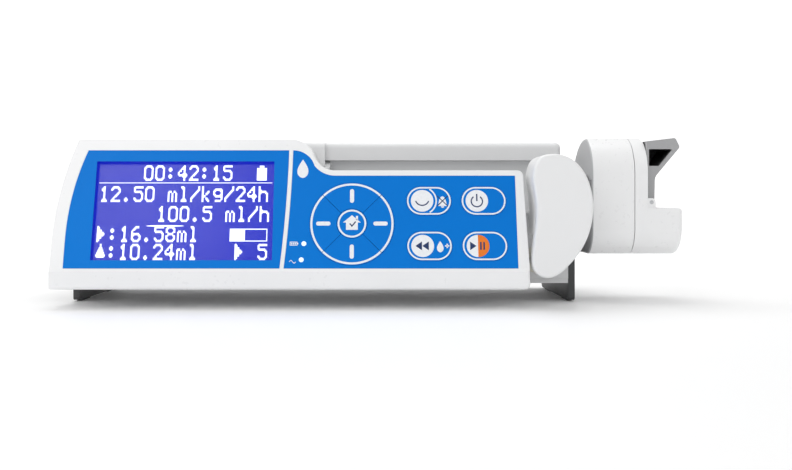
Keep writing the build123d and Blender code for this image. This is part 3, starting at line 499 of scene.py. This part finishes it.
PANEL_TILT = math.radians(15.0)
overlay_low, overlay_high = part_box("keypad_overlay")
SHEET_THICKNESS = 0.00055
PANEL_FOOT_Y, PANEL_FOOT_Z = overlay_low.y, overlay_low.z + SHEET_THICKNESS * math.sin(PANEL_TILT)
ACROSS = np.array([1.0, 0.0, 0.0])
UP_PANEL = np.array([0.0, math.sin(PANEL_TILT), math.cos(PANEL_TILT)])
OUT = np.array([0.0, -math.cos(PANEL_TILT), math.sin(PANEL_TILT)])
KEY_TOP, SHEET_TOP = 0.29, 0.04
KEY_BOX_DROP = 0.00092    # the flange behind a key makes its box reach lower than the cap does


def strip(one, two):
    """A flat strip between two lines with as many points each: a quad for each step along them."""
    one, two = np.asarray(one, float), np.asarray(two, float)
    n = len(one)
    first = np.arange(n - 1)
    quads = np.stack([first, first + 1, first + n + 1, first + n], axis=1)
    return np.vstack([one, two]), quads


def arc(radius, start, end, centre=(0, 0), steps=48):
    """Points round a circle from one angle to another, in degrees, anticlockwise from the right."""
    angle = np.radians(np.linspace(start, end, steps + 1))
    return np.stack([centre[0] + radius * np.cos(angle), centre[1] + radius * np.sin(angle)], axis=1)


def ring(inner, outer, start=0, end=360, centre=(0, 0)):
    return strip(arc(inner, start, end, centre), arc(outer, start, end, centre))


def bar(x0, x1, y0, y1):
    return strip([(x0, y0), (x1, y0)], [(x0, y1), (x1, y1)])


def column(heights, half_widths, centre=0.0):
    """An upright shape, the same on both sides, whose half width is given at each height."""
    heights, half = np.asarray(heights, float), np.asarray(half_widths, float)
    return strip(np.stack([centre - half, heights], 1), np.stack([centre + half, heights], 1))


def turned(shape, degrees, centre=(0, 0)):
    """A shape turned about its centre and then moved there."""
    points, quads = shape
    a = math.radians(degrees)
    spin = np.array([[math.cos(a), math.sin(a)], [-math.sin(a), math.cos(a)]])
    return points @ spin + np.asarray(centre, float), quads


def pill(length, width, steps=32):
    """The outline of a pill: two half circles joined by straight sides, closed."""
    r, c = width / 2, (length - width) / 2
    path = np.vstack([arc(r, -90, 90, (c, 0), steps), arc(r, 90, 270, (-c, 0), steps)])
    return np.vstack([path, path[:1]])


def ink(name, tone):
    """Screen-printed ink: nearly even, with a slight mottle in tone and height."""
    finish = Finish(name)
    mottle = finish.noise(700.0, 4.0)
    finish.colour(finish.mix(mottle.above(0.5, 0.3), tone, tuple(0.93 * c for c in tone)))
    finish.rough(0.36 + mottle * 0.1)
    finish.bump(mottle, 1e-5, 0.4)
    return finish.material


white_ink = ink("white ink", (0.9, 0.92, 0.95))
blue_ink = ink("blue ink", (0.0, 0.025, 0.12))
orange_ink = ink("orange ink", (0.88, 0.2, 0.005))


def panel_spot(x, z):
    """The point of the panel's surface at that place across it and at that height."""
    y = PANEL_FOOT_Y + (z - PANEL_FOOT_Z) * math.tan(PANEL_TILT)
    return np.array([x, y, z])


def print_mark(name, shapes, centre, height, body, material):
    """Lays flat shapes, drawn in millimetres about a centre, on the panel as one piece."""
    points, quads, count = [], [], 0
    for flat, faces in shapes:
        corners = flat[faces]
        ahead = np.roll(corners, -1, axis=1)
        area = (corners[..., 0] * ahead[..., 1] - ahead[..., 0] * corners[..., 1]).sum(axis=1)
        faces = np.where(area[:, None] < 0, faces[:, ::-1], faces)
        points.append(flat)
        quads.append(faces + count)
        count += len(flat)
    flat = np.vstack(points) / 1000
    place = centre + flat[:, :1] * ACROSS + flat[:, 1:] * UP_PANEL + height / 1000 * OUT
    mesh = bpy.data.meshes.new(name)
    mesh.from_pydata(place.tolist(), [], np.vstack(quads).tolist())
    mesh.validate()
    mesh.materials.append(material)
    piece = bpy.data.objects.new(name, mesh)
    bpy.context.scene.collection.objects.link(piece)
    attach(piece, body)
    return piece


def key_centre(*nodes):
    """The middle of a key, or of a group of keys, on the panel."""
    lows, highs = zip(*(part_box(node) for node in nodes))
    x = (min(p.x for p in lows) + max(p.x for p in highs)) / 2
    z = (min(p.z for p in lows) + max(p.z for p in highs)) / 2
    return panel_spot(x, z + KEY_BOX_DROP)


# ---- Direction pad ----
# Four keys make a ring. Each has a quarter of the white outline and one white bar that points
# outwards. The middle key has its own outline and a house with a tick.

PAD_R, PAD_LINE = 23.2, 1.15
pad_centre = key_centre("key_up", "key_down", "key_left", "key_right")
for node, angle in (("key_right", 0), ("key_up", 90), ("key_left", 180), ("key_down", 270)):
    outline = ring(PAD_R - PAD_LINE, PAD_R, angle - 44.6, angle + 44.6)
    pointer = turned(bar(13.1, 18.8, -1.15, 1.15), angle)
    tips = [turned(ring(0, 1.15, 90, 270, (13.1, 0)), angle),
            turned(ring(0, 1.15, -90, 90, (18.8, 0)), angle)]
    print_mark(f"{node}_mark", [outline, pointer, *tips], pad_centre, KEY_TOP, node, white_ink)

house = [column([-3.6, 0.6], [3.3, 3.3]), column([0.6, 4.8], [5.0, 0.01]), bar(2.2, 3.4, 2.0, 4.4)]
print_mark("key_ok_mark", [ring(7.0, 8.0), *house], pad_centre, KEY_TOP, "key_ok", white_ink)
tick = [turned(bar(-1.9, 0.35, -0.35, 0.35), -45, (0.1, -1.35)),
        turned(bar(-0.35, 3.4, -0.35, 0.35), 50, (-0.05, -1.5))]
print_mark("key_ok_tick", tick, pad_centre, KEY_TOP + 0.02, "key_ok", blue_ink)

# ---- Function keys ----
# Four pill-shaped keys with a white outline and a white disc at the left: alarm silence, power, quick
# dose, and start with stop. The last disc is half orange.

DISC_R, DISC_X = 6.3, -3.8


def outline_of_pill():
    return strip(pill(22.9, 14.3), pill(24.6, 16.0))


def disc(start=0, end=360, radius=DISC_R):
    return ring(0.0, radius, start, end, (DISC_X, 0))


def mark_key(node, whites, blues, oranges=()):
    """Prints one function key in up to three inks."""
    centre = key_centre(node)
    print_mark(f"{node}_white", whites, centre, KEY_TOP, node, white_ink)
    print_mark(f"{node}_blue", blues, centre, KEY_TOP + 0.02, node, blue_ink)
    if oranges:
        print_mark(f"{node}_orange", oranges, centre, KEY_TOP, node, orange_ink)


bell_heights = np.linspace(-2.4, 2.6, 15)
bell_rise = (bell_heights + 2.4) / 5.0
bell_widths = 2.3 * np.sqrt(np.clip(1 - bell_rise ** 3.2, 0.0, 1)) * (1 - 0.28 * bell_rise) + 0.02
bell = [column(bell_heights, bell_widths, 7.6), bar(4.9, 10.3, -3.0, -2.4),
        ring(0, 0.9, 180, 360, (7.6, -3.2))]
crossing = turned(bar(-4.2, 4.2, -0.26, 0.26), 45, (7.6, -0.1))
other_crossing = turned(bar(-4.2, 4.2, -0.26, 0.26), -45, (7.6, -0.1))
hush = ring(3.5, 4.2, 200, 340, (DISC_X, 1.2))
collar = ring(7.5, 8.3, -58, 58, (DISC_X, 0))
mark_key("key_menu", [outline_of_pill(), disc(), collar, *bell], [hush, crossing, other_crossing])

power = [ring(2.8, 3.5, 125, 415, (DISC_X, -0.3)), bar(DISC_X - 0.38, DISC_X + 0.38, -0.2, 4.0)]
mark_key("key_power", [outline_of_pill(), disc()], power)


def arrow(tip, back, half):
    """A triangle lying on its side, from its tip to its upright back edge."""
    return strip([(tip, 0.0), (back, -half)], [(tip, 0.0), (back, half)])


def droplet(scale, centre):
    """A drop: a round foot that narrows to a point, its half width worked out at each height."""
    t = np.linspace(0, math.pi, 25)
    shape = column(-np.cos(t) * 1.6 * scale, np.sin(t) ** 1.2 * (1 + np.cos(t)) ** 0.5 * 0.85 * scale)
    return turned(shape, 0, centre)


rewind = [arrow(DISC_X - 4.0, DISC_X - 0.4, 2.5), arrow(DISC_X - 0.2, DISC_X + 3.4, 2.5)]
plus = [bar(8.6, 11.0, -0.4, 0.4), bar(9.4, 10.2, -1.2, 1.2)]
mark_key("key_bolus", [outline_of_pill(), disc(), droplet(2.0, (5.9, -0.4)), *plus], rewind)

play = [arrow(DISC_X - 0.9, DISC_X - 4.4, 2.4)]
left_half = disc(90, 270)
pause = [bar(DISC_X + 1.1, DISC_X + 2.0, -2.2, 2.2), bar(DISC_X + 2.9, DISC_X + 3.8, -2.2, 2.2)]
mark_key("key_start", [outline_of_pill(), left_half], [*play, *pause], [disc(-90, 90)])

# ---- Marks beside the lamps ----
# A small battery and a wave for the mains, and a tall drop at the top of the keypad's sheet, all in
# white on the overlay.

lamp_low, lamp_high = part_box("status_lamps")
top_lamp = panel_spot(lamp_high.x - 0.0013, lamp_high.z - 0.0013)
low_lamp = panel_spot(lamp_low.x + 0.0013, lamp_low.z + 0.0013)
frame_line = [bar(-7.8, -3.6, -1.1, -0.7), bar(-7.8, -3.6, 0.7, 1.1), bar(-7.8, -7.4, -0.7, 0.7),
              bar(-4.0, -3.6, -0.7, 0.7), bar(-3.6, -3.1, -0.4, 0.4)]
charge = [bar(x, x + 0.7, -0.5, 0.5) for x in (-7.1, -6.1, -5.1)]
print_mark("battery_mark", frame_line + charge, top_lamp, SHEET_TOP, "case", white_ink)
along = np.linspace(-6.6, -3.0, 25)
wave = 0.75 * np.sin((along + 6.6) / 3.6 * 2 * math.pi)
mains_wave = strip(np.stack([along, wave - 0.25], 1), np.stack([along, wave + 0.25], 1))
print_mark("mains_mark", [mains_wave], low_lamp, SHEET_TOP, "case", white_ink)
drop_spot = panel_spot(lamp_low.x + 0.0013, overlay_high.z - 0.0105)
print_mark("drop_mark", [droplet(3.4, (0, 0))], drop_spot, SHEET_TOP, "case", white_ink)

# ---- Screen figures ----
# Lit dots of the liquid-crystal cell: plain figures and units in a seven-row face, doubled with
# stepped corners, a battery, a rule under the top line and a bar that shows how full the syringe is.

FACE = {
    "0": ".XXX. X...X X...X X...X X...X X...X .XXX.", "1": "..X.. .XX.. ..X.. ..X.. ..X.. ..X.. .XXX.",
    "2": ".XXX. X...X ....X ...X. ..X.. .X... XXXXX", "4": "...X. ..XX. .X.X. X..X. XXXXX ...X. ...X.",
    "5": "XXXXX X.... XXXX. ....X ....X X...X .XXX.", "6": "..XX. .X... X.... XXXX. X...X X...X .XXX.",
    "8": ".XXX. X...X X...X .XXX. X...X X...X .XXX.", ".": "..... ..... ..... ..... ..... .XX.. .XX..",
    ":": "..... .XX.. .XX.. ..... .XX.. .XX.. .....", "/": "....X ....X ...X. ..X.. .X... X.... X....",
    "m": "..... ..... XX.X. X.X.X X.X.X X.X.X X.X.X", "l": ".XX.. ..X.. ..X.. ..X.. ..X.. ..X.. .XXX.",
    "h": "X.... X.... XXXX. X...X X...X X...X X...X", "k": "X.... X.... X..X. X.X.. XX... X.X.. X..X.",
    "g": "..... .XXXX X...X X...X .XXXX ....X .XXX.", " ": "..... ..... ..... ..... ..... ..... .....",
    ">": "X.... XX... XXX.. XXXX. XXX.. XX... X....", "^": "..X.. ..X.. .XXX. .XXX. XXXXX XXXXX .....",
}


def dots_of(text):
    """A grid of lit dots for a line of text, one blank column after each figure."""
    letters = [np.array([[c == "X" for c in row] for row in FACE[letter].split()]) for letter in text]
    blank = np.zeros((7, 1), bool)
    return np.hstack([np.hstack([letter, blank]) for letter in letters])


def doubled(grid):
    """Twice as many dots each way, with a corner filled where two lit neighbours meet at it."""
    edge = np.pad(grid, 1)
    up, down, left, right = edge[:-2, 1:-1], edge[2:, 1:-1], edge[1:-1, :-2], edge[1:-1, 2:]
    fine = np.zeros((grid.shape[0] * 2, grid.shape[1] * 2), bool)
    fine[0::2, 0::2] = np.where((left == up) & (left != down) & (up != right), up, grid)
    fine[0::2, 1::2] = np.where((up == right) & (up != left) & (right != down), right, grid)
    fine[1::2, 0::2] = np.where((down == left) & (down != right) & (left != up), left, grid)
    fine[1::2, 1::2] = np.where((right == down) & (right != up) & (down != left), down, grid)
    return fine


DOT_WIDE, DOT_TALL = 0.535, 0.66


def dot_squares(text, x, y):
    """Small squares for the lit dots of a line whose top left corner is at x, y."""
    rows, columns = np.nonzero(doubled(dots_of(text)))
    left, top = x + columns * DOT_WIDE, y - rows * DOT_TALL
    right, bottom = left + DOT_WIDE * 0.93, top - DOT_TALL * 0.93
    corners = np.stack([np.stack([left, bottom], 1), np.stack([right, bottom], 1),
                        np.stack([right, top], 1), np.stack([left, top], 1)], axis=1)
    return corners.reshape(-1, 2), np.arange(len(left) * 4).reshape(-1, 4)


def lit_finish():
    """Light through an open dot, a little uneven from dot to dot."""
    finish = Finish("lit dots", Emission_Strength=0.95)
    uneven = finish.noise(500.0, 3.0)
    finish.glow(finish.mix(uneven, (0.82, 0.9, 1.0), (0.95, 0.97, 1.0)))
    finish.colour(finish.mix(uneven, (0.6, 0.65, 0.75), (0.7, 0.73, 0.8)))
    finish.rough(0.3 + uneven * 0.1)
    return finish.material


lit_dots = lit_finish()
SCREEN_DEPTH = -3.26
screen_centre = panel_spot(SCREEN_X, SCREEN_Z + 0.0003)
WIDE, TALL = 49.0, 28.4
lines = [
    dot_squares("00:42:15", -24.0, TALL - 1.2),
    dot_squares("12.50 ml/kg/24h", -WIDE + 0.6, TALL - 13.6),
    dot_squares("100.5 ml/h", WIDE - 64.4, TALL - 25.2),
    dot_squares(">:16.58ml", -WIDE + 0.6, TALL - 36.8),
    dot_squares("^:10.24ml", -WIDE + 0.6, TALL - 47.0),
    dot_squares("> 5", WIDE - 20.0, TALL - 47.0),
]
battery = [bar(40.2, 45.8, 18.2, 25.6), bar(41.7, 44.3, 25.6, 27.0)]
rule = [bar(-WIDE, WIDE, 16.6, 17.0)]
streak_x = np.linspace(-21.0, 0.0, 25)
streak_half = 0.45 * np.sqrt(np.clip(1 - ((streak_x + 10.5) / 10.6) ** 2, 0, 1)) + 0.005
streak = [strip(np.stack([streak_x, -8.3 - streak_half], 1), np.stack([streak_x, -8.3 + streak_half], 1))]
gauge = [bar(26.0, 47.0, -10.4, -9.9), bar(26.0, 47.0, -17.2, -16.7), bar(26.0, 26.5, -16.7, -10.4),
         bar(46.5, 47.0, -16.7, -10.4), bar(26.5, 34.5, -16.7, -10.4)]
print_mark("screen_figures", lines + battery + rule + streak + gauge, screen_centre, SCREEN_DEPTH,
           "case", lit_dots)

# ---- Floor, light and camera ----
# A seamless white sweep, a large soft light above, a broad one in front and a weak one at the left.
# The camera is level and close, a little right of the middle.


def studio_sweep(reach=6.0, back=2.2, bend=1.6, rise=6.0):
    """A white floor that turns up into a wall: straight, a quarter circle of radius bend, straight."""
    turn = np.linspace(0.0, np.pi / 2, 24)
    y = np.concatenate([[-reach], back + bend * np.sin(turn), [back + bend]])
    z = np.concatenate([[0.0], bend - bend * np.cos(turn), [rise]])
    rows = len(y)
    points = np.empty((rows, 2, 3))
    points[:, :, 0] = (-reach, reach)
    points[:, :, 1] = y[:, None]
    points[:, :, 2] = z[:, None]
    first = 2 * np.arange(rows - 1)
    faces = np.stack([first, first + 1, first + 3, first + 2], axis=1)
    mesh = bpy.data.meshes.new("sweep")
    mesh.from_pydata(points.reshape(-1, 3).tolist(), [], faces.tolist())
    finish = Finish("sweep", Roughness=0.5, Emission_Strength=1.0)
    x, y, z = finish.axes()
    finish.colour(finish.mix(finish.noise(3.0), (0.985, 0.985, 0.985), (0.995, 0.995, 0.995)))
    seen = Number(finish, finish.node("ShaderNodeLightPath", {}, output="Is Camera Ray"))
    finish.glow(finish.mix(y.above(0.6, 0.9) * seen, (0.0, 0.0, 0.0), (0.45, 0.45, 0.45)))
    mesh.materials.append(finish.material)
    sweep = bpy.data.objects.new("sweep", mesh)
    bpy.context.scene.collection.objects.link(sweep)


studio_sweep()


def soft_light(name, place, aim, size, watts):
    """A square area light turned towards a point."""
    lamp = bpy.data.lights.new(name, "AREA")
    lamp.size = size
    lamp.energy = watts
    light = bpy.data.objects.new(name, lamp)
    bpy.context.scene.collection.objects.link(light)
    from_aim = np.asarray(place, float) - np.asarray(aim, float)
    across = math.atan2(from_aim[0], -from_aim[1])
    level = math.hypot(from_aim[0], from_aim[1])
    light.location = place
    light.rotation_euler = (math.atan2(level, from_aim[2]), 0, across)


soft_light("top light", (-0.1, 0.25, 0.9), (0, 0, 0), 0.7, 3.6)
soft_light("front light", (-0.5, -1.0, 0.8), (0, 0, 0.05), 0.6, 2.4)
soft_light("side light", (-1.1, 0.1, 0.5), (0, 0, 0.05), 0.5, 0.8)
bpy.context.scene.view_settings.view_transform = "Standard"
world = bpy.data.worlds.new("studio")
world.use_nodes = True
world.node_tree.nodes["Background"].inputs["Color"].default_value = (1.0, 1.0, 1.0, 1.0)
world.node_tree.nodes["Background"].inputs["Strength"].default_value = 0.72
bpy.context.scene.world = world

CAMERA_X, CAMERA_Z, CAMERA_DISTANCE = -0.0017, 0.0605, 0.55
camera_data = bpy.data.cameras.new("camera")
camera_data.lens = 45.45
camera_data.sensor_width = 36.0
camera_data.clip_start = 0.01
camera_data.shift_x = 0.0303
camera_data.shift_y = -0.0442
camera = bpy.data.objects.new("camera", camera_data)
camera.location = (CAMERA_X, cad_low.y - CAMERA_DISTANCE, CAMERA_Z)
camera.rotation_euler = (math.pi / 2, 0, 0)
bpy.context.scene.collection.objects.link(camera)
bpy.context.scene.camera = camera
